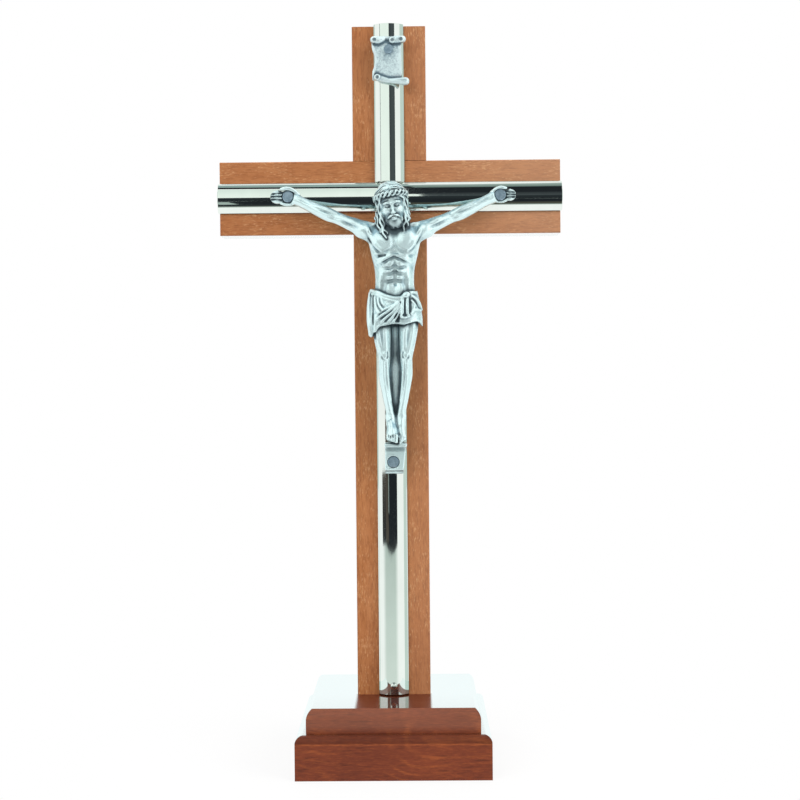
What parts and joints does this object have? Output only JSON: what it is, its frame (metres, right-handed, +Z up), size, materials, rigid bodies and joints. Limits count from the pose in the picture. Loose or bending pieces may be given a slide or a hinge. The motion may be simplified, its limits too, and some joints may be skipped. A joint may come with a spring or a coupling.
{
  "type": "standing crucifix",
  "caption": "Wooden cross on a stepped wooden base, with domed metal strips set in its beams, a pinned cast figure and a pinned cast scroll above it.",
  "frame": {"origin": "middle of the base's underside", "axes": "+Z up along the cross, +X along the crossbar to the viewer's right, and the front with the figure faces -Y"},
  "size_m": [0.0934, 0.0516, 0.2004],
  "materials": {
    "cross_wood": "satin varnish over a fine flecked grain",
    "base_wood": "gloss varnish over a red-brown stain",
    "bright_strip": "bright nickel, lightly scratched",
    "cast_figure": "bright cast metal with a dark patina in its hollows",
    "steel": "dull zinc-plated steel"
  },
  "bodies": {
    "root": {"base_block": "base_wood", "base_screw": "steel", "upright": "cross_wood", "crossbar": "cross_wood", "crossbar_strip": "bright_strip", "upper_strip": "bright_strip", "lower_strip": "bright_strip", "lower_strip_brad": "steel", "corpus": "cast_figure", "left_hand_pin": "steel", "right_hand_pin": "steel", "foot_pin": "steel", "title_scroll": "cast_figure", "scroll_pin": "steel"}
  },
  "joints": []
}
